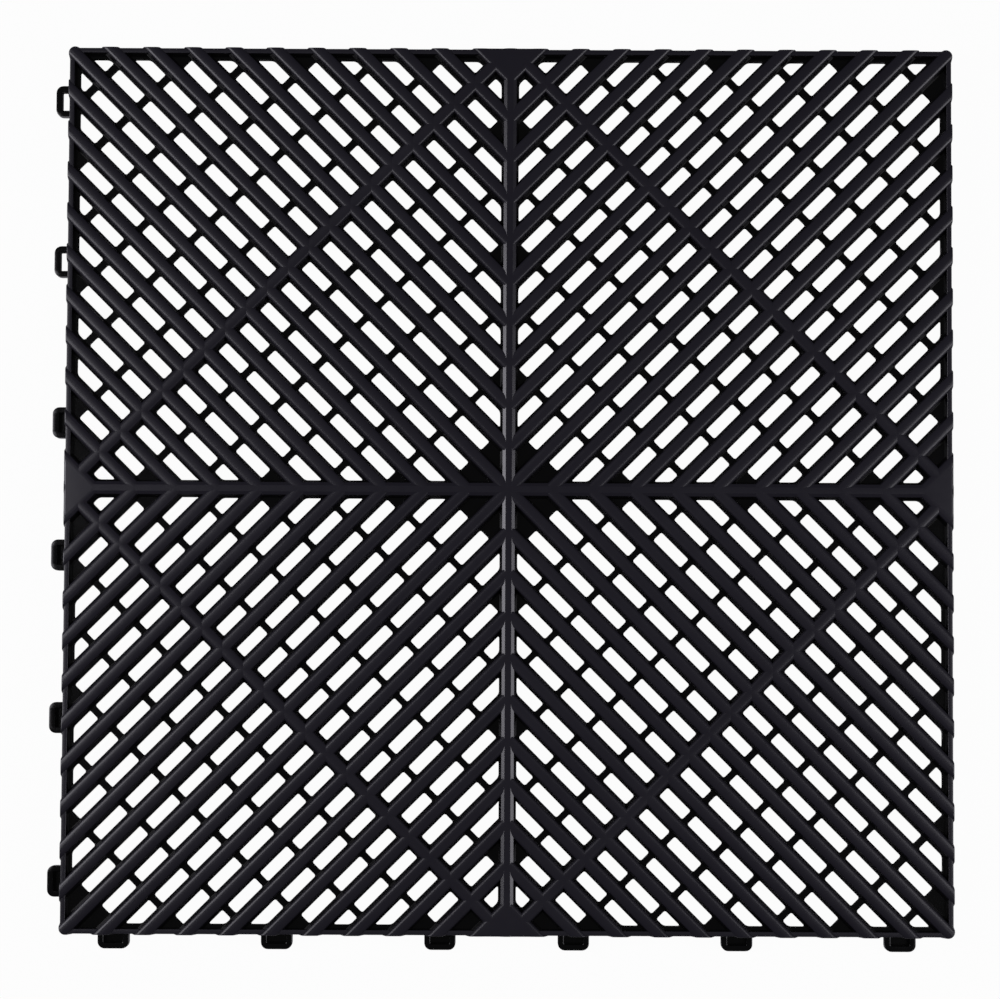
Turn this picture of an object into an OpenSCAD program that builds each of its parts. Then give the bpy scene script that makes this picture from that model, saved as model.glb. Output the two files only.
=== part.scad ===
// Vented floor tile with diagonal ribs, moulded as one piece and drawn as four quarters that meet
// face to face under the arms of its cross.
// Loops on two sides take the tabs of the next tile.
// Origin: middle of the underside, on the foot under the cross. +Z is up, through the rib tops.

/* [Tile] */
// Side of the square, over the rib ends
tile_w = 400; // [360:1:480]
// Height from the feet to the rib tops
tile_h = 18; // [16:0.5:24]
// Radius of the square's four corners
corner_r = 3; // [1:0.5:6]
// Radius that the rib ends turn down with at the outer edge
end_r = 1.6; // [0.8:0.2:2.4]

/* [Deck] */
// Thickness of the slotted deck
deck_t = 4; // [2.5:0.5:5]
// Depth of the channels between the ribs, from rib top to deck
channel_d = 6; // [4:0.5:7]
// Width of a slot
slot_w = 5.4; // [4:0.1:5.8]
// Width of a cross bar between two slots of a channel
bar_w = 2.9; // [2:0.1:5]
// Spacing of the cross bars that is aimed at
bar_pitch_aim = 20; // [16:1:30]
// Radius of a slot's square corners
slot_r = 0.9; // [0.3:0.1:1.2]
// Radius of the corners where a slot is cut off aslant
slot_cut_r = 2.2; // [1:0.1:2.4]
// Distance from an arm's centre line to the slots beside it
arm_clear = 4; // [3:0.1:6]
// Distance from the outer edge to the slots beside it
edge_clear = 4.6; // [3.6:0.1:8]
// Smallest slot that is left open, in square millimetres
slot_area_min = 32; // [20:1:60]

/* [Ribs] */
// Spacing of the ribs, measured across them
rib_pitch = 13.2; // [12.5:0.1:18]
// Width of a rib at the deck
rib_base_w = 7.6; // [7:0.1:9]
// Width of a rib at its top, over the rounded edges
rib_top_w = 5.8; // [4.6:0.1:6.6]
// Radius of a rib's top edges
rib_r = 1.5; // [0.6:0.1:2]
// Width of the hollow under a rib
hollow_w = 3.8; // [2:0.1:4.4]
// Thickness of the plastic over that hollow
roof_t = 2.5; // [1.5:0.1:4]
// Width of an arm's top, over its bevels
arm_top_w = 5.6; // [4.6:0.1:6.6]
// Bevel of an arm's top edges
arm_bevel = 1.3; // [0.5:0.1:2]

/* [Rim and feet] */
// Thickness of the rim wall
rim_t = 2.2; // [1.6:0.1:3]
// How far the rim wall stands inside the rib ends
rim_inset = 0.5; // [0.3:0.1:1]
// How far the rim wall stays below the rib tops
rim_drop = 1.5; // [1:0.1:3]
// Gap between the rim wall and the floor
rim_lift = 1; // [0.5:0.1:2]
// Diameter of a foot
foot_d = 6.4; // [5:0.1:7]
// Diameter of the foot under the middle
mid_foot_d = 16; // [12:0.5:20]

/* [Loops and tabs] */
// Number of loops on a side, half of them each side of its middle
loops_per_side = 6; // [2:2:6]
// Spacing of the loops
loop_pitch = 73.4; // [50:0.2:76]
// Distance from a side's middle to its first loop
loop_first = 30; // [28:0.5:50]
// Length of a loop along the side
loop_w = 14; // [13:0.1:18]
// How far a loop stands out of the side
loop_out = 6.8; // [6:0.1:8]
// Thickness of a loop's bar
loop_bar = 2.7; // [2:0.1:3.2]
// Height of a loop
loop_h = 5.8; // [4:0.1:6.4]
// Radius of a loop's outer corners
loop_r = 2.5; // [1:0.1:3]
// How much wider a loop is where it leaves the side
loop_flare = 0.5; // [0:0.1:1]
// Clearance round a tab in its loop
fit_gap = 0.4; // [0.2:0.05:0.8]

/* [Hidden] */

plastic_color = [0.035, 0.037, 0.041];
root2 = sqrt(2);
// Overlap that keeps joined solids and through cuts clean
lap = 1;
// Flat faces that stand for a quarter of a rounded edge; few, because hundreds of edges have them
arc_steps = 1;

half = tile_w / 2;
deck_z1 = tile_h - channel_d;
deck_z0 = deck_z1 - deck_t;
roof_z = tile_h - roof_t;
// u runs along the ribs, v across them, both from the tile's middle
mid_u = half / root2;
bar_count = round(mid_u / bar_pitch_aim);
bar_pitch = mid_u / bar_count;
rib_last = floor((mid_u - rib_base_w) / rib_pitch);
// Solid length that stays where a hollow meets an arm, the diamond or the rim
hollow_stop = 6;
loop_z0 = rim_lift + fit_gap;
loop_hole = loop_out - loop_bar;
tab_w = loop_w - 2 * loop_bar - 2 * fit_gap;
tab_t = loop_hole - rim_inset - fit_gap;
loop_places = [for (i = [0 : loops_per_side / 2 - 1]) loop_first + i * loop_pitch];
// Each quarter is drawn with x and y above 0 and mirrored to its place
// It holds the signs of its x and y, and whether its corner pocket is open beside each of the two edges
back_left = [-1, 1, true, true];
back_right = [1, 1, false, true];
front_right = [1, -1, false, true];
front_left = [-1, -1, false, false];

// Keeps the part of a convex outline where the point's share along n is at most d
function clipped(outline, n, d) = [
    for (i = [0 : len(outline) - 1])
        let (
            a = outline[i],
            b = outline[(i + 1) % len(outline)],
            over_a = a * n - d,
            over_b = b * n - d
        )
        each concat(
            over_a <= 0 ? [a] : [],
            over_a * over_b < 0 ? [a + (b - a) * over_a / (over_a - over_b)] : []
        )
];

function cross2(a, b) = a[0] * b[1] - a[1] * b[0];

function area(outline, i = 0) =
    i >= len(outline) ? 0 : cross2(outline[i], outline[(i + 1) % len(outline)]) / 2 + area(outline, i + 1);

// Cuts each corner of a convex outline back to where an arc of the wanted radius would start
function softened(outline, square_r, slant_r) = [
    for (i = [0 : len(outline) - 1])
        let (
            n = len(outline),
            p = outline[i],
            before = outline[(i + n - 1) % n] - p,
            after = outline[(i + 1) % n] - p,
            cosine = before * after / (norm(before) * norm(after)),
            half_turn = acos(cosine) / 2,
            r = abs(cosine) < 0.1 ? square_r : slant_r,
            reach = min(r / tan(half_turn), norm(before) * 0.45, norm(after) * 0.45)
        )
        each [p + before / norm(before) * reach, p + after / norm(after) * reach]
];

// From rib coordinates to the first quarter's x and y
function to_xy(uv) = [(uv[0] - uv[1]) / root2, (uv[0] + uv[1]) / root2];

// Where a slot of row m starts and ends along the channel: between two bars, or a bar and the diamond
function slot_start(m) = m * bar_pitch + (m == bar_count ? rib_base_w / 2 + 0.1 : bar_w / 2);
function slot_end(m) = (m + 1) * bar_pitch - (m == bar_count - 1 ? rib_base_w / 2 + 0.1 : bar_w / 2);

function slot_cell(m, gap) =
    let (
        v0 = (gap + 0.5) * rib_pitch - slot_w / 2,
        v1 = v0 + slot_w
    )
    [for (uv = [[slot_start(m), v0], [slot_end(m), v0], [slot_end(m), v1], [slot_start(m), v1]]) to_xy(uv)];

function slot_outline(m, gap) =
    clipped(clipped(slot_cell(m, gap), [-1, 0], -arm_clear), [0, 1], half - edge_clear);

function is_corner(m, gap) = m == 2 * bar_count - 1 && gap == 0;

// A rib's section: drafted sides and eased edges, and above them a strip that rib_block trims level
function bar_section(base_w, top_w, r, steps) =
    let (
        right = concat(
            [[base_w / 2, deck_z1 - lap], [base_w / 2, deck_z1]],
            [
                for (i = [0 : steps])
                    let (a = i * 90 / steps)
                    [top_w / 2 - r + r * cos(a), tile_h - r + r * sin(a)]
            ],
            [[top_w / 2 - r, tile_h + lap]]
        ),
        count = len(right)
    )
    concat(right, [for (i = [count - 1 : -1 : 0]) [-right[i][0], right[i][1]]]);

// The quarter's square from the tile's middle out to size, with its outer corner cut
function quarter_outline(size) = [
    [0, 0], [size, 0], [size, size - corner_r], [size - corner_r, size], [0, size]
];

// Extrudes a section along +x from 0 to run, with the section's first axis across and its second up
module run_along(run) {
    rotate([90, 0, 90]) linear_extrude(run) children();
}

// The same thing on the quarter's other side of its diagonal
module both_ways() {
    children();
    mirror([1, -1, 0]) children();
}

module deck() {
    translate([0, 0, deck_z0]) linear_extrude(deck_t) polygon(quarter_outline(half - rim_inset));
}

module slots(q) {
    for (flip = [0, 1], m = [1 : 2 * bar_count - 1], gap = [0 : rib_last - 1]) {
        outline = slot_outline(m, gap);
        if (len(outline) > 2 && (is_corner(m, gap) ? q[3 - flip] : area(outline) > slot_area_min))
            mirror([flip, -flip, 0])
                translate([0, 0, deck_z0 - lap]) linear_extrude(deck_t + 2 * lap)
                    polygon(softened(outline, slot_r, slot_cut_r));
    }
}

module ribs() {
    rotate([0, 0, 45]) for (k = [-rib_last : rib_last])
        translate([abs(k) * rib_pitch - rib_base_w, k * rib_pitch, 0])
            run_along(2 * (mid_u - abs(k) * rib_pitch) + 2 * rib_base_w)
                polygon(bar_section(rib_base_w, rib_top_w, rib_r, arc_steps));
}

module arms() {
    both_ways() run_along(half) polygon(bar_section(2 * arm_clear - 0.2, arm_top_w, arm_bevel, 1));
}

// The rib that joins the middles of the quarter's two outer sides, square to the others
module diamond_rib() {
    rotate([0, 0, 135]) translate([-mid_u, -mid_u, 0]) run_along(2 * mid_u)
        polygon(bar_section(rib_base_w, rib_top_w, rib_r, arc_steps));
}

// Solid plates that fill the middle of each side, outside the last ribs
module side_plates() {
    apex = rib_last * rib_pitch * root2;
    both_ways() translate([0, 0, deck_z1 - lap]) linear_extrude(channel_d + 2 * lap)
        polygon([[0, apex], [half - apex, half], [0, half]]);
}

// The block that the ribs are trimmed to: level top and bottom, and eased along its outer top edges
module rib_block() {
    edge = [
        for (i = [0 : arc_steps])
            let (a = i * 90 / arc_steps)
            [half - end_r + end_r * cos(a), tile_h - end_r + end_r * sin(a)]
    ];
    profile = concat(
        [[-lap, deck_z0], [half, deck_z0]], edge, [[half - end_r, tile_h + lap], [-lap, tile_h + lap]]
    );
    intersection() {
        rotate([90, 0, 0]) mirror([0, 0, 1]) linear_extrude(half + lap) polygon(profile);
        run_along(half + lap) polygon(profile);
        translate([0, 0, deck_z1 - lap / 2]) linear_extrude(channel_d + lap / 2)
            polygon(quarter_outline(half));
    }
}

module rim() {
    outer = half - rim_inset;
    inner = outer - rim_t;
    translate([0, 0, rim_lift]) linear_extrude(tile_h - rim_drop - rim_lift) difference() {
        polygon(quarter_outline(outer));
        translate([-lap, -lap]) square(inner + lap);
    }
}

module hollow(k, start, end) {
    if (end - start > hollow_w)
        rotate([0, 0, 45]) translate([start, k * rib_pitch - hollow_w / 2, deck_z0 - lap])
            cube([end - start, hollow_w, roof_z - deck_z0 + lap]);
}

// The open hollows under the ribs, from arm to diamond and from diamond to rim
module hollows() {
    for (k = [-rib_last + 1 : rib_last - 1]) {
        off = abs(k) * rib_pitch;
        hollow(k, off + arm_clear * root2 + hollow_stop, mid_u - hollow_stop);
        hollow(k, mid_u + hollow_stop, 2 * mid_u - off - edge_clear * root2 - hollow_stop);
    }
}

// Feet stand under every second rib where every second cross bar meets it
module feet() {
    for (m = [2 : 2 : 2 * bar_count - 1], k = [-rib_last : 2 : rib_last]) {
        x = (m * bar_pitch - k * rib_pitch) / root2;
        y = (m * bar_pitch + k * rib_pitch) / root2;
        if (min(x, y) > foot_d && max(x, y) < half - loop_out - foot_d)
            translate([x, y, 0]) cylinder(h = roof_z + rib_r / 2, d = foot_d, $fn = 32);
    }
}

module middle_foot() {
    rotate_extrude(angle = 90, $fn = 64) square([mid_foot_d / 2, deck_z0 + lap]);
}

// The opening that lets the next tile's loop in under the rim at y = half
module loop_notch(place) {
    wide = loop_w + 2 * loop_flare + 2 * fit_gap;
    deep = loop_out + fit_gap;
    translate([place - wide / 2, half - deep, -lap]) cube([wide, deep + lap, deck_z0 + lap]);
}

module tab(place) {
    translate([place - tab_w / 2, half - rim_inset - tab_t, loop_z0])
        cube([tab_w, tab_t, deck_z0 - loop_z0 + lap]);
}

// A loop that stands out of the side at y = half
module loop(place) {
    root = loop_w / 2 + loop_flare;
    tip = loop_w / 2;
    into = rim_inset + rim_t;
    hole = tip - loop_bar;
    corner = [
        for (i = [0 : 2])
            let (a = i * 45)
            [tip - loop_r + loop_r * cos(a), loop_out - loop_r + loop_r * sin(a)]
    ];
    translate([place, half, loop_z0]) linear_extrude(loop_h) difference() {
        polygon(concat(
            [[root, -into], [root, 0]], corner,
            [for (i = [2 : -1 : 0]) [-corner[i][0], corner[i][1]]], [[-root, 0], [-root, -into]]
        ));
        translate([-hole, 0]) square([2 * hole, loop_hole]);
    }
}

// Loops or tabs along one side
module side_notches() {
    for (place = loop_places) loop_notch(place);
}

module side_tabs() {
    for (place = loop_places) tab(place);
}

module side_loops() {
    for (place = loop_places) loop(place);
}

// One quarter of the tile: loops on its left and front sides, tabs on its right and back sides
module quarter(q) {
    color(plastic_color) mirror([q[0] < 0 ? 1 : 0, 0, 0]) mirror([0, q[1] < 0 ? 1 : 0, 0]) union() {
        difference() {
            union() {
                deck();
                intersection() {
                    union() {
                        ribs();
                        arms();
                        diamond_rib();
                        side_plates();
                    }
                    rib_block();
                }
                rim();
            }
            slots(q);
            hollows();
            if (q[0] > 0) mirror([1, -1, 0]) side_notches();
            if (q[1] > 0) side_notches();
        }
        feet();
        middle_foot();
        mirror([1, -1, 0]) if (q[0] > 0) side_tabs(); else side_loops();
        if (q[1] > 0) side_tabs(); else side_loops();
    }
}

module quarter_back_left() {
    quarter(back_left);
}

module quarter_back_right() {
    quarter(back_right);
}

module quarter_front_right() {
    quarter(front_right);
}

module quarter_front_left() {
    quarter(front_left);
}

quarter_back_left();
quarter_back_right();
quarter_front_right();
quarter_front_left();
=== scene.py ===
# %% [markdown]
# # A vented plastic floor tile
# The real tile is one black polypropylene moulding: a slotted deck, rounded diagonal ribs on top of it,
# a cross and a diamond of the same ribs, a thin rim, loops on two sides and hollow ribs below.
# This first cell loads the solid model as a fixed frame, so every new piece can be placed by its sizes.

# %% Load the frame
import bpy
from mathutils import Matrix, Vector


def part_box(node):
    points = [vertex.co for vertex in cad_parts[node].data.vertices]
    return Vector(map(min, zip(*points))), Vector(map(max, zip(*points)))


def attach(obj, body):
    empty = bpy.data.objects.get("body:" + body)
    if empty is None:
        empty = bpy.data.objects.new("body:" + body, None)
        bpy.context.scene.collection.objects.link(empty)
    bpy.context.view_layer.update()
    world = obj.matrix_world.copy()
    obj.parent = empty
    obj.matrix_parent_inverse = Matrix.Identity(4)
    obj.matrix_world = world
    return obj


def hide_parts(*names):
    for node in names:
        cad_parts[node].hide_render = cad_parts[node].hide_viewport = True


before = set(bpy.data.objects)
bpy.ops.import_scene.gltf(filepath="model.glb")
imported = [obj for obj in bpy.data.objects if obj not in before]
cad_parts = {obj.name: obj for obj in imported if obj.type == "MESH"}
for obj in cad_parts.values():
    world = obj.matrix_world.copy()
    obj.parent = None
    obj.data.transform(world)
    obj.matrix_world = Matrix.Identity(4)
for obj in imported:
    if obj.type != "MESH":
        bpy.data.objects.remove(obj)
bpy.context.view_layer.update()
import math
import bmesh
import bpy
from mathutils import Matrix, Vector

# %% [markdown]
# ## Camera
# The photo looks almost straight down. Its far side is 1.5 percent shorter than its near side, which at a
# distance of a metre and a half is a tilt of about three degrees. A long lens keeps that perspective.

# %% Camera
VIEW_DISTANCE = 1.5
VIEW_TILT = math.radians(3.2)
VIEW_ROLL = math.radians(0.26)
AIM = Vector((-0.0035, -0.0043, 0.012))
SENSOR = 0.036
PIXELS_WIDE = 1000
PIXELS_PER_METRE = 2217

camera_data = bpy.data.cameras.new("camera")
camera = bpy.data.objects.new("camera", camera_data)
bpy.context.scene.collection.objects.link(camera)
bpy.context.scene.camera = camera
camera_data.sensor_width = SENSOR * 1000
camera_data.lens = SENSOR * 1000 * PIXELS_PER_METRE * VIEW_DISTANCE / PIXELS_WIDE
camera.location = AIM + VIEW_DISTANCE * Vector((0, -math.sin(VIEW_TILT), math.cos(VIEW_TILT)))
camera.rotation_euler = (Matrix.Rotation(VIEW_ROLL, 4, "Z") @ Matrix.Rotation(VIEW_TILT, 4, "X")).to_euler()
print("lens of", round(camera_data.lens, 1), "mm")

# %% [markdown]
# ## Sizes
# The side and the height come from the frame. The rest are the moulding's own sizes in millimetres,
# and the rule of the pattern: ribs run at 45 degrees in each quarter, cross bars cut each channel
# between two ribs into slots, and the diamond takes the place of the seventh cross bar.

# %% Sizes of the moulding
MM = 0.001
corner_of_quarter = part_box("quarter_back_right")[1]
HALF = corner_of_quarter[0]
TILE_TOP = corner_of_quarter[2]
DECK_TOP = TILE_TOP - 6 * MM
DECK_BOTTOM = DECK_TOP - 4 * MM
HOLLOW_TOP = TILE_TOP - 2.5 * MM
OVERLAP = 0.2 * MM
RIB_PITCH = 13.2 * MM
RIB_BASE, RIB_TOP, RIB_EASE = 7.6 * MM, 5.0 * MM, 1.55 * MM
ARM_BASE, ARM_TOP, ARM_EASE = 7.8 * MM, 5.4 * MM, 1.3 * MM
EASE_DROP = 0.4
CROWN = 0.05 * MM
PLATE_STEP = 0.03 * MM
END_EASE = 0.5 * MM
RIM_INSET, RIM_T, CORNER_R = 0.5 * MM, 2.2 * MM, 3 * MM
SLOT_W, BAR_W = 5.4 * MM, 2.9 * MM
SLOT_R, SLOT_CUT_R = 0.9 * MM, 1.2 * MM
SLOT_AREA_MIN = 32 * MM * MM
ARM_CLEAR, EDGE_CLEAR = 4 * MM, 4.6 * MM
HOLLOW_W, HOLLOW_STOP = 3.8 * MM, 6 * MM
ROOT2 = math.sqrt(2)
MID_U = HALF / ROOT2
BAR_COUNT = round(MID_U / (20 * MM))
BAR_PITCH = MID_U / BAR_COUNT
RIB_LAST = int((MID_U - RIB_BASE) / RIB_PITCH)
QUARTERS = {
    "back_left": (-1, 1, True, True),
    "back_right": (1, 1, False, True),
    "front_right": (1, -1, False, True),
    "front_left": (-1, -1, False, False),
}
print(2 * RIB_LAST + 1, "ribs a quarter and a cross bar every", round(BAR_PITCH / MM, 2), "mm")

# %% [markdown]
# ## One mesh for one moulding
# The real tile is one piece, so the model is one mesh. Each feature is shaped in a small bmesh of its
# own and then stamped into that mesh, once for each place. Mirror modifiers could do the four quarters,
# but the corners and sides differ a little, and stamping lets each place be chosen. A mirrored stamp
# turns its faces over, so they are turned back.

# %% Stamp helper
moulding = bmesh.new()
FLIP = Matrix(((0, 1, 0, 0), (1, 0, 0, 0), (0, 0, 1, 0), (0, 0, 0, 1)))


def quarter_matrix(signs):
    return Matrix.Diagonal((signs[0], signs[1], 1, 1))


def stamp(part, places):
    bmesh.ops.recalc_face_normals(part, faces=part.faces)
    master = bpy.data.meshes.new("stamp")
    part.to_mesh(master)
    part.free()
    for place in places:
        copy = master.copy()
        copy.transform(place)
        if place.determinant() < 0:
            copy.flip_normals()
        moulding.from_mesh(copy)
        bpy.data.meshes.remove(copy)
    bpy.data.meshes.remove(master)


ALL_QUARTERS = [quarter_matrix(signs) for signs in QUARTERS.values()]
print("a feature of a quarter is stamped", len(ALL_QUARTERS), "times")

# %% [markdown]
# ## Deck
# The deck is a flat sheet full of slots. It is drawn in the pattern's own grid, turned by 45 degrees:
# a strip of cells runs in each channel, and plain strips under the ribs join the channels. A cell or a
# slot starts as a small flat grid, and whatever reaches past the arm or the rim is cut away. A slot's
# corners are then rounded: square ones a little, and those that a slanting cut leaves a little more.
# The slots could be cut out of one sheet with booleans, but hundreds of them are slow and leave ragged
# faces. Flat outlines stay clean.

# %% Flat outlines
def cut_away(part, point, outward):
    cut = bmesh.ops.bisect_plane(
        part, geom=part.verts[:] + part.edges[:] + part.faces[:], dist=1e-7,
        plane_co=point, plane_no=outward, clear_outer=True,
    )
    return [g for g in cut["geom_cut"] if isinstance(g, bmesh.types.BMEdge)]


def flat(start, end, low, high, near, far):
    part = bmesh.new()
    bmesh.ops.create_grid(part, x_segments=1, y_segments=1, size=0.5)
    bmesh.ops.scale(part, vec=(end - start, high - low, 1), verts=part.verts)
    bmesh.ops.translate(part, vec=((start + end) / 2, (low + high) / 2, 0), verts=part.verts)
    bmesh.ops.rotate(part, matrix=Matrix.Rotation(math.pi / 4, 3, "Z"), verts=part.verts)
    for point, outward in (
        ((near, 0, 0), (-1, 0, 0)), ((0, near, 0), (0, -1, 0)),
        ((far, 0, 0), (1, 0, 0)), ((0, far, 0), (0, 1, 0)),
    ):
        cut_away(part, point, outward)
    return part


def round_corners(part, square_r, slant_r):
    square, slant = [], []
    for loop in part.faces[0].loops:
        turned_square = abs(math.cos(loop.calc_angle())) < 0.1
        (square if turned_square else slant).append(loop.vert)
    for corners, radius in ((square, square_r), (slant, slant_r)):
        if corners:
            bmesh.ops.bevel(
                part, geom=corners, offset=radius, offset_type="OFFSET", affect="VERTICES",
                segments=3, profile=0.5, material=-1, clamp_overlap=True,
            )


print("corners rounded by", round(SLOT_R / MM, 1), "mm, slanting ones by", round(SLOT_CUT_R / MM, 1), "mm")

# %% [markdown]
# ## Slots
# A slot that is cut down too small is a closed web on the real tile, so it isn't made. The pockets in
# the tile's corners and beside the side plates are open on some sides only. A cell is filled between
# its own outline and its slot's, and the filled sheet is grown upwards to the deck's thickness.

# %% Slots and filling
CORNER_POCKET, PLATE_POCKET = (2 * BAR_COUNT - 1, 0), (BAR_COUNT, RIB_LAST - 1)


def slot_in(row, gap, pocket_open):
    beside = RIB_BASE / 2 + OVERLAP / 2
    start = row * BAR_PITCH + (beside if row == BAR_COUNT else BAR_W / 2)
    end = (row + 1) * BAR_PITCH - (beside if row == BAR_COUNT - 1 else BAR_W / 2)
    side = (gap + 0.5) * RIB_PITCH
    part = flat(start, end, side - SLOT_W / 2, side + SLOT_W / 2, ARM_CLEAR, HALF - EDGE_CLEAR)
    is_pocket = (row, gap) in (CORNER_POCKET, PLATE_POCKET)
    open_enough = part.faces and sum(f.calc_area() for f in part.faces) > SLOT_AREA_MIN
    if (pocket_open if is_pocket else open_enough):
        part.faces.ensure_lookup_table()
        round_corners(part, SLOT_R, SLOT_CUT_R)
        return part
    part.free()
    return None


def fill_between(sheet, outlines):
    ring = bmesh.new()
    for outline in outlines:
        mesh = bpy.data.meshes.new("outline")
        bmesh.ops.delete(outline, geom=outline.faces[:], context="FACES_ONLY")
        outline.to_mesh(mesh)
        outline.free()
        ring.from_mesh(mesh)
        bpy.data.meshes.remove(mesh)
    bmesh.ops.triangle_fill(ring, use_beauty=True, edges=ring.edges[:], normal=(0, 0, 1))
    filled = bpy.data.meshes.new("filled")
    ring.to_mesh(filled)
    ring.free()
    sheet.from_mesh(filled)
    bpy.data.meshes.remove(filled)


def thicken(sheet, low, high):
    bmesh.ops.remove_doubles(sheet, verts=sheet.verts, dist=1e-6)
    bmesh.ops.translate(sheet, vec=(0, 0, low), verts=sheet.verts)
    grown = bmesh.ops.extrude_face_region(sheet, geom=sheet.faces[:])["geom"]
    risen = [g for g in grown if isinstance(g, bmesh.types.BMVert)]
    bmesh.ops.translate(sheet, vec=(0, 0, high - low), verts=risen)


print("a cell is", round(BAR_PITCH / MM, 1), "mm long and its slot", round(SLOT_W / MM, 1), "mm wide")

# %% [markdown]
# ## Channels between the ribs
# Each channel is a strip of cells. The strips of the four quarters are alike but for their pockets, so
# a strip is made once with its pocket open and once with it closed, and each goes where it belongs.
# A whole strip is filled cell by cell, because a fill of many nested outlines at once goes wrong.

# %% Channels of the deck
UNDER_RIB = RIB_BASE / 2 - OVERLAP
DECK_SIDE = HALF - RIM_INSET - RIM_T / 2


def pocket_is_open(gap, signs, flip):
    if gap == CORNER_POCKET[1]:
        return signs[3 - flip]
    return gap == PLATE_POCKET[1] and signs[1] > 0 and not flip


slot_count, deck_area = 0, 0
for gap in range(RIB_LAST):
    for pocket_open in (True, False):
        places = [
            quarter_matrix(signs) @ (FLIP if flip else Matrix.Identity(4))
            for signs in QUARTERS.values() for flip in (0, 1)
            if pocket_is_open(gap, signs, flip) == pocket_open
        ]
        sheet = bmesh.new()
        for row in range(2 * BAR_COUNT if places else 0):
            cell = flat(
                row * BAR_PITCH, (row + 1) * BAR_PITCH,
                gap * RIB_PITCH + UNDER_RIB, (gap + 1) * RIB_PITCH - UNDER_RIB, 0, DECK_SIDE,
            )
            if not cell.faces:
                cell.free()
                continue
            slot = slot_in(row, gap, pocket_open) if row else None
            slot_count += len(places) if slot else 0
            fill_between(sheet, [cell, slot] if slot else [cell])
        deck_area += len(places) * sum(f.calc_area() for f in sheet.faces)
        thicken(sheet, DECK_BOTTOM, DECK_TOP)
        stamp(sheet, places)
print(slot_count, "slots in the channels")

# %% [markdown]
# ## Strips under the ribs
# Under a rib the deck is a plain strip with long openings, because the ribs are hollow from below. The
# openings stop short of the arms, the diamond and the rim. They are seen only from underneath, but a
# moulded rib is never solid, so the strip is filled round them in the same way as a cell round a slot.

# %% Strips under the ribs
def hollow_spans(k):
    off = abs(k) * RIB_PITCH
    spans = [
        (off + ARM_CLEAR * ROOT2 + HOLLOW_STOP, MID_U - HOLLOW_STOP),
        (MID_U + HOLLOW_STOP, 2 * MID_U - off - EDGE_CLEAR * ROOT2 - HOLLOW_STOP),
    ]
    return [span for span in spans if abs(k) < RIB_LAST and span[1] - span[0] > HOLLOW_W]


for k in range(-RIB_LAST, RIB_LAST + 1):
    low = -MID_U if k == -RIB_LAST else k * RIB_PITCH - UNDER_RIB
    high = MID_U if k == RIB_LAST else k * RIB_PITCH + UNDER_RIB
    outlines = [flat(0, 2 * MID_U, low, high, 0, DECK_SIDE)]
    side = HOLLOW_W / 2 + OVERLAP / 2
    for start, end in hollow_spans(k):
        start, end = start - OVERLAP / 2, end + OVERLAP / 2
        outlines.append(flat(start, end, k * RIB_PITCH - side, k * RIB_PITCH + side, 0, DECK_SIDE))
    sheet = bmesh.new()
    fill_between(sheet, outlines)
    deck_area += 4 * sum(f.calc_area() for f in sheet.faces)
    thicken(sheet, DECK_BOTTOM, DECK_TOP)
    stamp(sheet, ALL_QUARTERS)
print("deck covers", round(100 * deck_area / (2 * DECK_SIDE) ** 2), "percent of its square")

# %% [markdown]
# ## Ribs
# A rib is a bar with drafted sides and a rounded, slightly crowned top. It starts as a cube: its top
# is drawn in for the draft, its two long top edges are bevelled round, and a cut along the middle is
# lifted for the crown. The bevel is made on the bar stretched upwards, so it comes out wide and low.
# A profile drawn point by point would do too, but a bevelled bar is easier to change.

# %% Bar
def bar(start, end, base, top, ease, height, segments=6):
    part = bmesh.new()
    bmesh.ops.create_cube(part, size=1)
    foot = DECK_TOP - OVERLAP
    bmesh.ops.scale(part, vec=(end - start, base, height - foot), verts=part.verts)
    bmesh.ops.translate(part, vec=((start + end) / 2, 0, (height + foot) / 2), verts=part.verts)
    upper = [v for v in part.verts if v.co.z > DECK_TOP]
    bmesh.ops.scale(part, vec=(1, top / base, 1), verts=upper)
    long_edges = [
        e for e in part.edges
        if all(v.co.z > DECK_TOP for v in e.verts) and abs(e.verts[0].co.x - e.verts[1].co.x) > MM
    ]
    bmesh.ops.scale(part, vec=(1, 1, 1 / EASE_DROP), verts=part.verts)
    eased = bmesh.ops.bevel(
        part, geom=long_edges, offset=ease, offset_type="OFFSET", affect="EDGES",
        segments=segments, profile=0.5, material=-1, clamp_overlap=False,
    )
    bmesh.ops.scale(part, vec=(1, 1, EASE_DROP), verts=part.verts)
    if segments == 1:
        for edge in {e for f in eased["faces"] for e in f.edges}:
            edge.smooth = False
    whole = part.verts[:] + part.edges[:] + part.faces[:]
    bmesh.ops.bisect_plane(part, geom=whole, dist=1e-7, plane_co=(0, 0, 0), plane_no=(0, 1, 0))
    ridge = [v for v in part.verts if abs(v.co.y) < 1e-6 and v.co.z > DECK_TOP]
    bmesh.ops.translate(part, vec=(0, 0, CROWN), verts=ridge)
    return part


print("a rib is", round(RIB_BASE / MM, 1), "mm wide at its foot and", round(RIB_TOP / MM, 1), "mm at its top")

# %% [markdown]
# ## Hollows and ends of the ribs
# The underside of a rib is inset and pushed up, which makes the hollow that keeps the moulding light
# and free of sink marks. A rib's end is a cut that is closed again, with its upper edges eased. A cut
# by a plane gives a flush end at any angle, which a bar of the right length would not.

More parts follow.
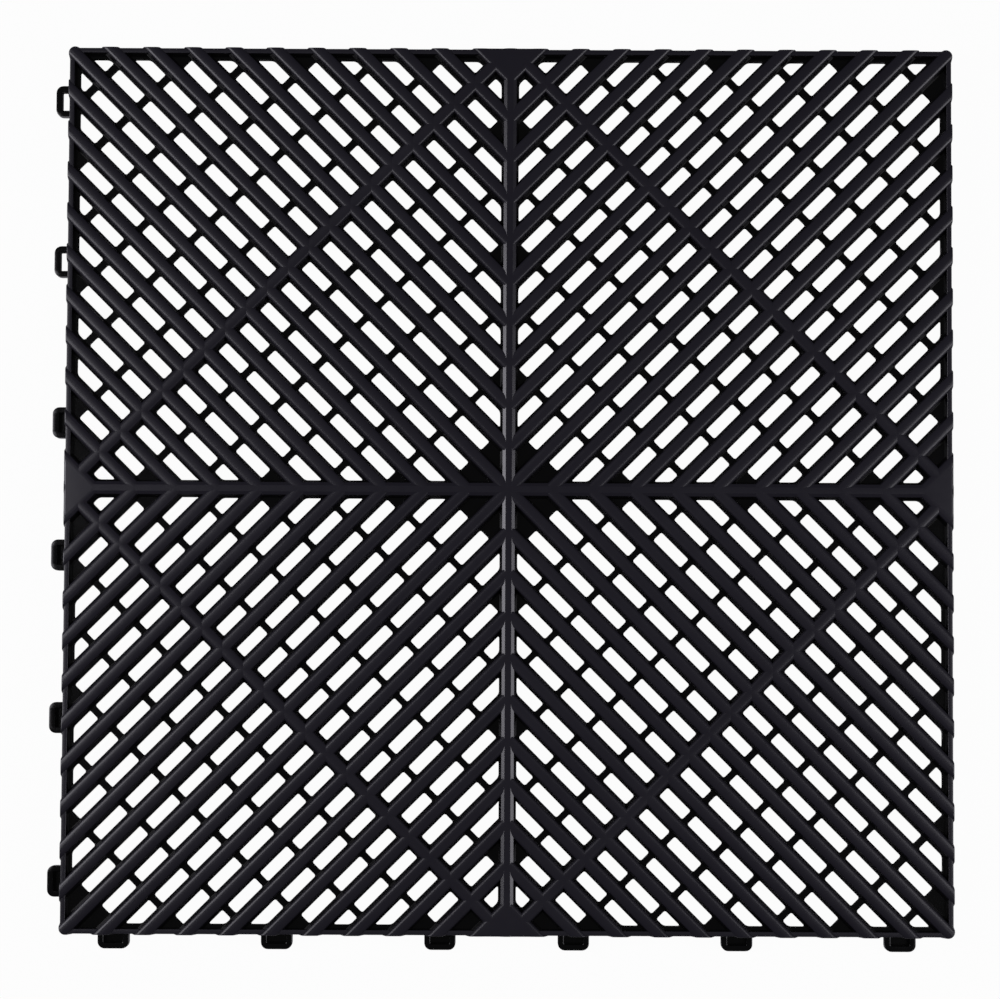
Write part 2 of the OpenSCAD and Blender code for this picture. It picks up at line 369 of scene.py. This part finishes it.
# %% Hollows and ends
def hollow_out(part, spans):
    below = [v for v in part.verts if abs(v.co.y) < 1e-6 and v.co.z < DECK_TOP]
    bmesh.ops.dissolve_edges(part, edges=[
        e for e in part.edges if e.verts[0] in below and e.verts[1] in below
    ])
    wall = (RIB_BASE - HOLLOW_W) / 2
    for start, end in spans:
        for place in (start - wall, end + wall):
            whole = part.verts[:] + part.edges[:] + part.faces[:]
            bmesh.ops.bisect_plane(
                part, geom=whole, dist=1e-7, plane_co=(place, 0, 0), plane_no=(1, 0, 0)
            )
        under = [
            f for f in part.faces
            if f.normal.z < -0.9 and start < f.calc_center_median().x < end
        ]
        bmesh.ops.inset_individual(part, faces=under, thickness=wall)
        pushed = bmesh.ops.extrude_discrete_faces(part, faces=under)["faces"]
        lifted = {v for f in pushed for v in f.verts}
        bmesh.ops.translate(part, vec=(0, 0, HOLLOW_TOP - DECK_TOP + OVERLAP), verts=list(lifted))


def end_at(part, point, outward, ease):
    edges = cut_away(part, point, outward)
    if not edges:
        return
    cap = bmesh.ops.contextual_create(part, geom=edges)["faces"]
    if ease and cap:
        rim = [e for e in cap[0].edges if max(v.co.z for v in e.verts) > DECK_TOP]
        bmesh.ops.bevel(
            part, geom=rim, offset=ease, offset_type="OFFSET", affect="EDGES",
            segments=3, profile=0.5, material=-1, clamp_overlap=False,
        )


print("hollows", round(HOLLOW_W / MM, 1), "mm wide end", round(HOLLOW_STOP / MM, 1), "mm before a crossing")

# %% [markdown]
# ## Diagonal ribs
# The ribs of a quarter run from the arms out to the rim. Their outer ends are cut flush with the side
# of the tile and softened. The one in the corner is trimmed by a fan of cuts, so that it follows the
# rounded corner.

# %% Diagonal ribs
CORNER_CUTS = 6
BAR_TOP = TILE_TOP - PLATE_STEP - CROWN
turn = Matrix.Rotation(math.pi / 4, 4, "Z")
for k in range(-RIB_LAST, RIB_LAST + 1):
    off = abs(k) * RIB_PITCH
    part = bar(off - RIB_BASE, 2 * MID_U - off + RIB_BASE, RIB_BASE, RIB_TOP, RIB_EASE, BAR_TOP)
    hollow_out(part, hollow_spans(k))
    bmesh.ops.transform(part, matrix=turn @ Matrix.Translation((0, k * RIB_PITCH, 0)), verts=part.verts)
    if k >= 0:
        end_at(part, (0, 0, 0), (-1, 0, 0), 0)
        end_at(part, (0, HALF, 0), (0, 1, 0), END_EASE if k else 0)
    if k <= 0:
        end_at(part, (0, 0, 0), (0, -1, 0), 0)
        end_at(part, (HALF, 0, 0), (1, 0, 0), END_EASE if k else 0)
    if k == 0:
        for step in range(1, CORNER_CUTS):
            bearing = step * math.pi / 2 / CORNER_CUTS
            outward = Vector((math.cos(bearing), math.sin(bearing), 0))
            tangent = Vector((HALF - CORNER_R, HALF - CORNER_R, 0)) + CORNER_R * outward
            end_at(part, tangent, outward, 0)
    stamp(part, ALL_QUARTERS)
print("diagonal ribs stamped")

# %% [markdown]
# ## Arms of the cross
# The two arms are bars of the same kind as the ribs, but their bevels are flat and crisp: they catch
# the light as two clear lines. One segment in the bevel gives that.

# %% Arms of the cross
for angle in (0, math.pi / 2):
    part = bar(-HALF, HALF, ARM_BASE, ARM_TOP, ARM_EASE, BAR_TOP, 1)
    stamp(part, [Matrix.Rotation(angle, 4, "Z")])
print("two arms of", round(2 * HALF / MM), "mm stamped")

# %% [markdown]
# ## Diamond
# Four ribs join the middles of the four sides and cross the others at right angles. They stiffen the
# tile. Each is one bar, laid across its quarter and cut off along the middle lines of the arms.

# %% Diamond
part = bar(-MID_U - RIB_BASE, MID_U + RIB_BASE, RIB_BASE, RIB_TOP, RIB_EASE, BAR_TOP)
across = Matrix.Rotation(-math.pi / 4, 4, "Z") @ Matrix.Translation((0, MID_U, 0))
bmesh.ops.transform(part, matrix=across, verts=part.verts)
for point, outward in (((0, 0, 0), (-1, 0, 0)), ((0, 0, 0), (0, -1, 0))):
    end_at(part, point, outward, 0)
for point, outward in (((0, HALF - MM, 0), (0, 1, 0)), ((HALF - MM, 0, 0), (1, 0, 0))):
    end_at(part, point, outward, 0)
stamp(part, ALL_QUARTERS)
print("diamond with sides of", round(2 * MID_U / MM), "mm stamped")

# %% [markdown]
# ## Side plates
# A flat triangle fills the middle of each side, outside the last ribs, where the diamond's corners
# meet the arms. It is a grid with two slanting cuts, grown upwards. It stands a hair above the ribs, so
# its top stays unbroken.

# %% Side plates
PLATE_EASE = 0.9 * MM
apex = RIB_LAST * RIB_PITCH * ROOT2
plate = bmesh.new()
bmesh.ops.create_grid(plate, x_segments=1, y_segments=1, size=HALF)
for outward in ((1, -1, 0), (-1, -1, 0)):
    cut_away(plate, (0, apex, 0), outward)
thicken(plate, DECK_TOP - OVERLAP, TILE_TOP)
outer_edge = [
    e for e in plate.edges
    if all(v.co.z > DECK_TOP and v.co.y > HALF - MM for v in e.verts)
]
bmesh.ops.bevel(
    plate, geom=outer_edge, offset=PLATE_EASE, offset_type="OFFSET", affect="EDGES",
    segments=3, profile=0.5, material=-1,
)
stamp(plate, [Matrix.Rotation(i * math.pi / 2, 4, "Z") for i in range(4)])
print("side plates", round((HALF - apex) / MM), "mm deep stamped")

# %% [markdown]
# ## Rim
# A thin wall runs round the deck, a little inside the rib ends and nearly level with their tops. Its
# upper part is a closed ring: a square with rounded corners, inset and raised, with its top eased. Four
# straight walls would leave seams in the corners, so the ring is made as a whole.

# %% Ring of the rim
RIM_TOP, RIM_BOTTOM = TILE_TOP - 0.7 * MM, 1 * MM
SMALL_EASE = 0.35 * MM


def square_outline(part, side, corner):
    made = bmesh.ops.create_grid(part, x_segments=1, y_segments=1, size=side)["verts"]
    bmesh.ops.bevel(
        part, geom=made, offset=corner, offset_type="OFFSET", affect="VERTICES",
        segments=4, profile=0.5, material=-1,
    )


outer_side = HALF - RIM_INSET
ring = bmesh.new()
square_outline(ring, outer_side, CORNER_R)
bmesh.ops.inset_region(
    ring, faces=ring.faces[:], thickness=RIM_T, use_boundary=True, use_even_offset=True,
)
middle = max(ring.faces, key=lambda f: f.calc_area())
bmesh.ops.delete(ring, geom=[middle], context="FACES")
thicken(ring, DECK_BOTTOM, RIM_TOP)
bmesh.ops.recalc_face_normals(ring, faces=ring.faces)
top_edges = [
    e for e in ring.edges
    if all(v.co.z > DECK_TOP for v in e.verts) and e.calc_face_angle(0) > 1
]
bmesh.ops.bevel(
    ring, geom=top_edges, offset=SMALL_EASE, offset_type="OFFSET", affect="EDGES",
    segments=2, profile=0.5, material=-1,
)
stamp(ring, [Matrix.Identity(4)])
print("ring of the rim, ", round(RIM_T / MM, 1), " mm thick, stamped", sep="")

# %% [markdown]
# ## Lower wall and tabs
# On the right and at the back the lower wall is open where the next tile's loops come in, and a tab
# stands in each opening. The openings could be cut out of one wall, but plain blocks with eased edges
# between them give the same shape with few faces.

# %% Lower wall and tabs
LOOP_W, LOOP_OUT, LOOP_BAR, LOOP_H, FLARE = 14 * MM, 6.8 * MM, 2.7 * MM, 5.8 * MM, 0.5 * MM
LOOP_FIRST, LOOP_PITCH = 30 * MM, 73.4 * MM
FIT_GAP = 0.4 * MM
LOOP_BOTTOM = RIM_BOTTOM + FIT_GAP
LOOP_PLACES = sorted(side * (LOOP_FIRST + LOOP_PITCH * i) for side in (-1, 1) for i in range(3))


def block(low, high, ease):
    part = bmesh.new()
    bmesh.ops.create_cube(part, size=1)
    bmesh.ops.scale(part, vec=Vector(high) - Vector(low), verts=part.verts)
    bmesh.ops.translate(part, vec=(Vector(low) + Vector(high)) / 2, verts=part.verts)
    bmesh.ops.bevel(
        part, geom=part.edges[:], offset=ease, offset_type="OFFSET", affect="EDGES",
        segments=2, profile=0.5, material=-1,
    )
    return part


SIDE_TURN = {"back": 0, "left": math.pi / 2, "front": math.pi, "right": -math.pi / 2}
wall_front, wall_back = outer_side - RIM_T, outer_side - OVERLAP / 4
for side, angle in SIDE_TURN.items():
    opening = LOOP_W / 2 + FLARE + FIT_GAP
    ends = [-outer_side + CORNER_R]
    if side in ("back", "right"):
        for place in LOOP_PLACES:
            ends += [place - opening, place + opening]
    ends.append(outer_side - CORNER_R)
    for start, end in zip(ends[::2], ends[1::2]):
        low = (start, wall_front, RIM_BOTTOM)
        high = (end, wall_back, DECK_BOTTOM + OVERLAP)
        stamp(block(low, high, SMALL_EASE), [Matrix.Rotation(angle, 4, "Z")])
tab_t = LOOP_OUT - LOOP_BAR - RIM_INSET - FIT_GAP
tab_w = LOOP_W - 2 * LOOP_BAR - 2 * FIT_GAP
for side in ("back", "right"):
    for place in LOOP_PLACES:
        low = (place - tab_w / 2, outer_side - tab_t, LOOP_BOTTOM)
        high = (place + tab_w / 2, outer_side - OVERLAP / 2, DECK_BOTTOM + OVERLAP)
        stamp(block(low, high, SMALL_EASE), [Matrix.Rotation(SIDE_TURN[side], 4, "Z")])
print(2 * len(LOOP_PLACES), "tabs stamped")

# %% [markdown]
# ## Loops
# A loop is a flat bar bent into a U. Its section is extruded out of the wall, spun round the first
# corner, extruded along the side, spun round the second corner and brought back to the wall. All but
# the two at the back of the left side are dark inside, where shade falls, so a thin web closes those
# below as painted shade. A curve with a bevel could make the U, but spinning keeps the section's flat
# sides level.

# %% Loops
LOOP_R = 3.1 * MM


def loop_part():
    part = bmesh.new()
    made = bmesh.ops.create_grid(part, x_segments=1, y_segments=1, size=0.5)["verts"]
    bmesh.ops.scale(part, vec=(LOOP_BAR, LOOP_H, 1), verts=made)
    bmesh.ops.bevel(
        part, geom=made, offset=SMALL_EASE, offset_type="OFFSET", affect="VERTICES",
        segments=2, profile=0.5, material=-1,
    )
    bmesh.ops.rotate(part, matrix=Matrix.Rotation(math.pi / 2, 3, "X"), verts=part.verts)
    leg = LOOP_W / 2 - LOOP_BAR / 2
    start = Vector((-leg, -RIM_INSET - RIM_T / 2, LOOP_BOTTOM + LOOP_H / 2))
    bmesh.ops.translate(part, vec=start, verts=part.verts)

    def onward(step):
        end = [g for g in part.faces if g.select]
        grown = bmesh.ops.extrude_face_region(part, geom=end)["geom"]
        for f in end:
            f.select = False
        moved = [g for g in grown if isinstance(g, bmesh.types.BMVert)]
        for g in grown:
            if isinstance(g, bmesh.types.BMFace):
                g.select = True
        bmesh.ops.translate(part, vec=step, verts=moved)

    def corner(centre):
        end = [f for f in part.faces if f.select]
        geom = end + [e for f in end for e in f.edges] + [v for f in end for v in f.verts]
        spun = bmesh.ops.spin(
            part, geom=geom, cent=centre, axis=(0, 0, 1), dvec=(0, 0, 0), angle=-math.pi / 2, steps=5,
            use_merge=False, use_normal_flip=False, use_duplicate=False,
        )["geom_last"]
        for f in end:
            if f.is_valid:
                f.select = False
        for g in spun:
            if isinstance(g, bmesh.types.BMFace):
                g.select = True

    for f in part.faces:
        f.select = True
    reach = LOOP_OUT - LOOP_R
    onward((0, reach - start.y, 0))
    corner((-LOOP_W / 2 + LOOP_R, reach, 0))
    onward((LOOP_W - 2 * LOOP_R, 0, 0))
    corner((LOOP_W / 2 - LOOP_R, reach, 0))
    onward((0, start.y - reach, 0))
    return part


SHADE_WEB_T = 0.8 * MM
loop_places = [
    Matrix.Rotation(SIDE_TURN[side], 4, "Z") @ Matrix.Translation((place, HALF, 0))
    for side in ("left", "front") for place in LOOP_PLACES
]
OPEN_LOOPS = [p for p in loop_places if p.translation.y > LOOP_PLACES[-2] - MM]
stamp(loop_part(), loop_places)
# Painted shade: a thin dark web closes the loops that are dark inside.
shade_web_low = (-LOOP_W / 2 + LOOP_BAR / 2, -RIM_INSET - RIM_T / 2, LOOP_BOTTOM - SHADE_WEB_T)
shade_web_high = (LOOP_W / 2 - LOOP_BAR / 2, LOOP_OUT - LOOP_BAR / 2, LOOP_BOTTOM + OVERLAP)
stamp(block(shade_web_low, shade_web_high, SMALL_EASE), [p for p in loop_places if p not in OPEN_LOOPS])
print(len(loop_places), "loops stamped")

# %% [markdown]
# ## Feet
# Feet stand under every second rib where every second cross bar meets it, so water runs away below.
# Each is a short cylinder with an eased edge, and a wider one stands under the middle. Twenty sides are
# enough for a peg that stands in the shade.

# %% Feet
FOOT_D, MID_FOOT_D, FOOT_EASE = 6.4 * MM, 16 * MM, 0.5 * MM


def foot_part(diameter, height, sides):
    part = bmesh.new()
    bmesh.ops.create_cone(
        part, cap_ends=True, cap_tris=False, segments=sides,
        radius1=diameter / 2, radius2=diameter / 2, depth=height,
    )
    bmesh.ops.translate(part, vec=(0, 0, height / 2), verts=part.verts)
    sole = [e for e in part.edges if all(v.co.z < FOOT_EASE for v in e.verts)]
    bmesh.ops.bevel(
        part, geom=sole, offset=FOOT_EASE, offset_type="OFFSET", affect="EDGES",
        segments=2, profile=0.5, material=-1,
    )
    return part


foot_places = []
for row in range(2, 2 * BAR_COUNT, 2):
    for k in range(-RIB_LAST, RIB_LAST + 1, 2):
        x = (row * BAR_PITCH - k * RIB_PITCH) / ROOT2
        y = (row * BAR_PITCH + k * RIB_PITCH) / ROOT2
        if min(x, y) > FOOT_D and max(x, y) < HALF - LOOP_OUT - FOOT_D:
            foot_places += [place @ Matrix.Translation((x, y, 0)) for place in ALL_QUARTERS]
stamp(foot_part(FOOT_D, HOLLOW_TOP + OVERLAP, 20), foot_places)
stamp(foot_part(MID_FOOT_D, DECK_BOTTOM + OVERLAP, 48), [Matrix.Identity(4)])
print(len(foot_places) + 1, "feet stamped")

# %% [markdown]
# ## Shader maths
# A material is a tree of nodes, and maths in it soon takes dozens of them. A small class wraps a shader
# socket, so that maths on masks reads as plain expressions: each operator adds one Math node, and any
# other node comes from one method. The nodes could be placed one by one, but that hides the formula.
# Colours are blended by Mix nodes, because a Math node would turn them grey.

# %% Socket class
class Socket:
    def __init__(self, tree, socket):
        self.tree, self.socket = tree, socket

    @classmethod
    def node(cls, tree, kind, settings, values, output=0):
        made = tree.nodes.new(kind)
        for name, value in settings.items():
            if name == "stops":
                for element, (place, color) in zip(made.color_ramp.elements, value):
                    element.position, element.color = place, color
            else:
                setattr(made, name, value)
        pairs = values.items() if isinstance(values, dict) else enumerate(values)
        for name, value in pairs:
            if isinstance(value, cls):
                tree.links.new(value.socket, made.inputs[name])
            else:
                made.inputs[name].default_value = value
        return cls(tree, made.outputs[output])

    def math(self, operation, *values):
        return self.node(self.tree, "ShaderNodeMath", {"operation": operation}, [self, *values])

    def __add__(self, other):
        return self.math("ADD", other)

    def __sub__(self, other):
        return self.math("SUBTRACT", other)

    def __rsub__(self, other):
        return self.node(self.tree, "ShaderNodeMath", {"operation": "SUBTRACT"}, [other, self])

    def __mul__(self, other):
        return self.math("MULTIPLY", other)

    __radd__ = __add__
    __rmul__ = __mul__


node = Socket.node
print("sockets can be added, subtracted and multiplied")

# %% [markdown]
# ## Moulded plastic
# Polypropylene filled with carbon black is very dark and slightly blue. Its mould was spark-eroded, so
# it has a fine grain and a semi-matt sheen. Shade is painted by height: the colour darkens from the rib
# tops to near black in the channels between the ribs, where less light falls, and dust lies in patches
# on the tops. The sides of the ribs are the most matt and the deck is the smoothest. An image could
# show all this, but height and three noises give it at any distance.

# %% Plastic material
PLASTIC = (0.0132, 0.0120, 0.0182, 1)
# Painted shade: the near-black colour that the lower parts of the moulding are mixed towards.
PAINTED_SHADE = (0.0006, 0.0005, 0.0009, 1)
DUSTY = (0.0190, 0.0178, 0.0245, 1)
CLOUDS, FLOW_MARKS, GRAIN = 18.0, 160.0, 2600.0
SHADE_DEPTH = 2.8 * MM
DUST_FROM, DUST_FULL, DUST_SHARE = 0.48, 0.78, 0.35
DECK_ROUGH, SIDES_ROUGHER, TOPS_SMOOTHER = 0.08, 0.32, 0.20
GRAIN_DEPTH, GRAIN_STRENGTH = 0.2 * MM, 0.03


def plastic_material():
    material = bpy.data.materials.new("black_polypropylene")
    material.use_nodes = True
    tree = material.node_tree
    shader = tree.nodes["Principled BSDF"]
    place = node(tree, "ShaderNodeTexCoord", {}, {}, "Object")
    cloudy = node(tree, "ShaderNodeTexNoise", {}, {"Vector": place, "Scale": CLOUDS, "Detail": 2.0})
    grain = node(tree, "ShaderNodeTexNoise", {}, {"Vector": place, "Scale": GRAIN, "Detail": 1.0})
    flow = node(tree, "ShaderNodeTexNoise", {}, {"Vector": place, "Scale": FLOW_MARKS, "Detail": 2.0})
    dust = node(
        tree, "ShaderNodeValToRGB",
        {"stops": [(DUST_FROM, (0, 0, 0, 1)), (DUST_FULL, (1, 1, 1, 1))]}, [cloudy],
    )
    height = node(tree, "ShaderNodeSeparateXYZ", {}, [place], 2)
    # Painted light and shade by height: 1 on the rib tops, falling to 0 a few millimetres lower.
    lit_top = node(
        tree, "ShaderNodeMapRange", {"interpolation_type": "SMOOTHSTEP"},
        {"Value": height, "From Min": TILE_TOP - SHADE_DEPTH, "From Max": TILE_TOP - 0.1 * MM},
    )
    # Painted shade: lower parts get the near-black colour, and the tops keep the plastic's own.
    shaded_by_height = node(
        tree, "ShaderNodeMix", {"data_type": "RGBA"},
        {"Factor": lit_top, "A": PAINTED_SHADE, "B": PLASTIC}, 2,
    )
    above_deck = node(
        tree, "ShaderNodeMapRange", {},
        {"Value": height, "From Min": DECK_TOP + 0.1 * MM, "From Max": DECK_TOP + 0.6 * MM},
    )
    color = node(
        tree, "ShaderNodeMix", {"data_type": "RGBA"},
        {"Factor": dust * lit_top * DUST_SHARE, "A": shaded_by_height, "B": DUSTY}, 2,
    )
    tree.links.new(color.socket, shader.inputs["Base Color"])
    roughness = DECK_ROUGH + SIDES_ROUGHER * above_deck - TOPS_SMOOTHER * lit_top
    roughness = roughness + 0.06 * flow + 0.04 * cloudy
    tree.links.new(roughness.socket, shader.inputs["Roughness"])
    bump = node(
        tree, "ShaderNodeBump", {},
        {"Height": grain + 0.6 * flow, "Strength": GRAIN_STRENGTH, "Distance": GRAIN_DEPTH},
    )
    tree.links.new(bump.socket, shader.inputs["Normal"])
    return material


plastic = plastic_material()
print("plastic of", len(plastic.node_tree.nodes), "nodes")

# %% [markdown]
# ## Finish the moulding
# Edges that turn by more than about a third of a right angle stay crisp, and the rounded ones are shaded
# smooth. Weighted normals keep the broad faces flat beside them. Then the mesh becomes the one piece
# that stands for the four quarters of the solid model.

# %% Finish the moulding
CRISP = math.radians(32)
for face in moulding.faces:
    face.smooth = True
for edge in moulding.edges:
    if edge.calc_face_angle(0) > CRISP:
        edge.smooth = False
tile_mesh = bpy.data.meshes.new("tile_moulding")
triangles = sum(len(face.verts) - 2 for face in moulding.faces)
moulding.to_mesh(tile_mesh)
moulding.free()
tile_mesh.materials.append(plastic)
tile = bpy.data.objects.new("tile_moulding", tile_mesh)
bpy.context.scene.collection.objects.link(tile)
flat_first = tile.modifiers.new("flat_faces_first", "WEIGHTED_NORMAL")
flat_first.keep_sharp = True
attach(tile, "root")
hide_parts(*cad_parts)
print("moulding of", triangles, "triangles")

# %% [markdown]
# ## Floor
# A pale floor takes the tile's thin shadow and shows near white to the camera through Light Path, so
# the lamps can stay plain. More light could whiten it too, but it would bleach the black plastic. The
# floor isn't sampled as a lamp, because its white is for the camera alone.

# %% Floor
FLOOR_SIDE = 6
FLOOR_GREY, FLOOR_SHOWN = 0.62, 0.97


def floor_material():
    material = bpy.data.materials.new("pale_floor")
    material.use_nodes = True
    material.cycles.emission_sampling = "NONE"
    tree = material.node_tree
    matt = tree.nodes["Principled BSDF"]
    matt.inputs["Base Color"].default_value = (FLOOR_GREY, FLOOR_GREY, FLOOR_GREY, 1)
    matt.inputs["Roughness"].default_value = 0.7
    seen = node(tree, "ShaderNodeLightPath", {}, {}, "Is Camera Ray")
    seen = seen.math("MAXIMUM", node(tree, "ShaderNodeLightPath", {}, {}, "Is Transmission Ray"))
    white = node(tree, "ShaderNodeEmission", {}, {"Color": (1, 1, 1, 1), "Strength": 1.0})
    mixed = node(
        tree, "ShaderNodeMixShader", {},
        [seen * FLOOR_SHOWN, Socket(tree, matt.outputs["BSDF"]), white],
    )
    tree.links.new(mixed.socket, tree.nodes["Material Output"].inputs["Surface"])
    return material


floor_mesh = bpy.data.meshes.new("floor")
bm = bmesh.new()
bmesh.ops.create_grid(bm, x_segments=2, y_segments=2, size=FLOOR_SIDE / 2)
bm.to_mesh(floor_mesh)
bm.free()
floor = bpy.data.objects.new("floor", floor_mesh)
floor_mesh.materials.append(floor_material())
bpy.context.scene.collection.objects.link(floor)
print("floor of", FLOOR_SIDE, "m")

# %% [markdown]
# ## Light
# A long soft box stands on each side. Its middle lights the bevels of the arm that runs from front to
# back, and its ends light the outer edges of the diagonal ribs. Four smaller boxes could do the same,
# but they would put a second line of light on many ribs.

# %% Lamps
COOL = (0.95, 0.93, 1.0)
BOX_SPREAD = math.radians(90)
LEFT_POWER, RIGHT_POWER = 4.6, 2.9


def soft_box(name, place, aim, size, power):
    data = bpy.data.lights.new(name, "AREA")
    data.spread, data.color = BOX_SPREAD, COOL
    data.shape, data.size, data.size_y, data.energy = "RECTANGLE", size[0], size[1], power
    lamp = bpy.data.objects.new(name, data)
    lamp.location = place
    lamp.rotation_euler = (Vector(aim) - Vector(place)).to_track_quat("-Z", "Y").to_euler()
    bpy.context.scene.collection.objects.link(lamp)
    return lamp


soft_box("left_box", (-1.2, 0.08, 1.0), (-0.12, 0.08, 0), (0.45, 1.9), LEFT_POWER)
soft_box("right_box", (1.2, -0.15, 1.0), (0.12, -0.15, 0), (0.45, 1.8), RIGHT_POWER)
print("two soft boxes of", LEFT_POWER, "and", RIGHT_POWER, "W")

# %% [markdown]
# ## Even light
# A studio's pale walls send back a little light from all round, which keeps the shaded sides of the
# ribs from going fully black. The world gives it. It shows white to the camera and stays faint for
# everything else.

# %% World
WORLD_LIGHT = 0.06
world = bpy.data.worlds.new("world")
bpy.context.scene.world = world
world.use_nodes = True
background = world.node_tree.nodes["Background"]
background.inputs["Color"].default_value = (1, 1, 1, 1)
shown = node(world.node_tree, "ShaderNodeLightPath", {}, {}, "Is Camera Ray")
strength = shown * (1 - WORLD_LIGHT) + WORLD_LIGHT
world.node_tree.links.new(strength.socket, background.inputs["Strength"])
print("world light", WORLD_LIGHT)

# %% [markdown]
# ## View
# The picture is shown plainly, so a colour in the render can be compared with the same one in the
# photo.

# %% View settings
bpy.context.scene.view_settings.view_transform = "Standard"
print("view", bpy.context.scene.view_settings.view_transform)
